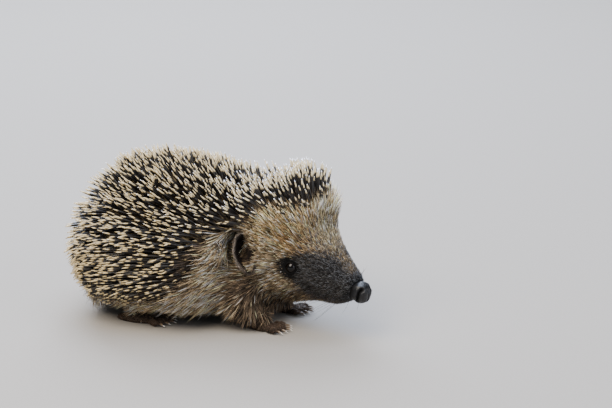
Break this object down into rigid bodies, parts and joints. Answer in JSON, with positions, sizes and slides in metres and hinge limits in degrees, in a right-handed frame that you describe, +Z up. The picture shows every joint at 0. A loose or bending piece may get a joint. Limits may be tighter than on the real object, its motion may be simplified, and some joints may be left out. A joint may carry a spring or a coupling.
{
  "type": "hedgehog",
  "caption": "Young hedgehog crouched on its feet, spines half raised, head low and turned to the right: a still, life-size display model.",
  "frame": {"origin": "on the floor under the middle of the whole, at the level of the soles", "axes": "+X the way the body faces, +Y its left, +Z up"},
  "size_m": [0.1692, 0.1018, 0.088],
  "materials": {
    "quills": "hard keratin spines, cream at the tip with a dark brown band below it",
    "fur": "coarse fur, grey-brown to straw",
    "face_fur": "short dark fur of the mask and muzzle",
    "skin": "bare or thinly haired grey-brown skin",
    "nose_leather": "moist black nose pad",
    "eye": "wet, almost black",
    "claw": "horn-coloured keratin"
  },
  "bodies": {
    "root": {"ear_left": "skin", "ear_right": "skin", "eye_left": "eye", "eye_right": "eye", "nose": "nose_leather", "muzzle": "face_fur", "head": "fur", "neck": "fur", "lower_jaw": "face_fur", "mantle_rump": "quills", "mantle_back": "quills", "mantle_crown": "quills", "forefoot_left": "skin", "forefoot_right": "skin", "hindfoot_left": "skin", "hindfoot_right": "skin", "foreleg_left": "fur", "foreleg_right": "fur", "hindleg_left": "fur", "hindleg_right": "fur", "belly": "fur", "chest": "fur", "tail": "skin"}
  },
  "joints": []
}
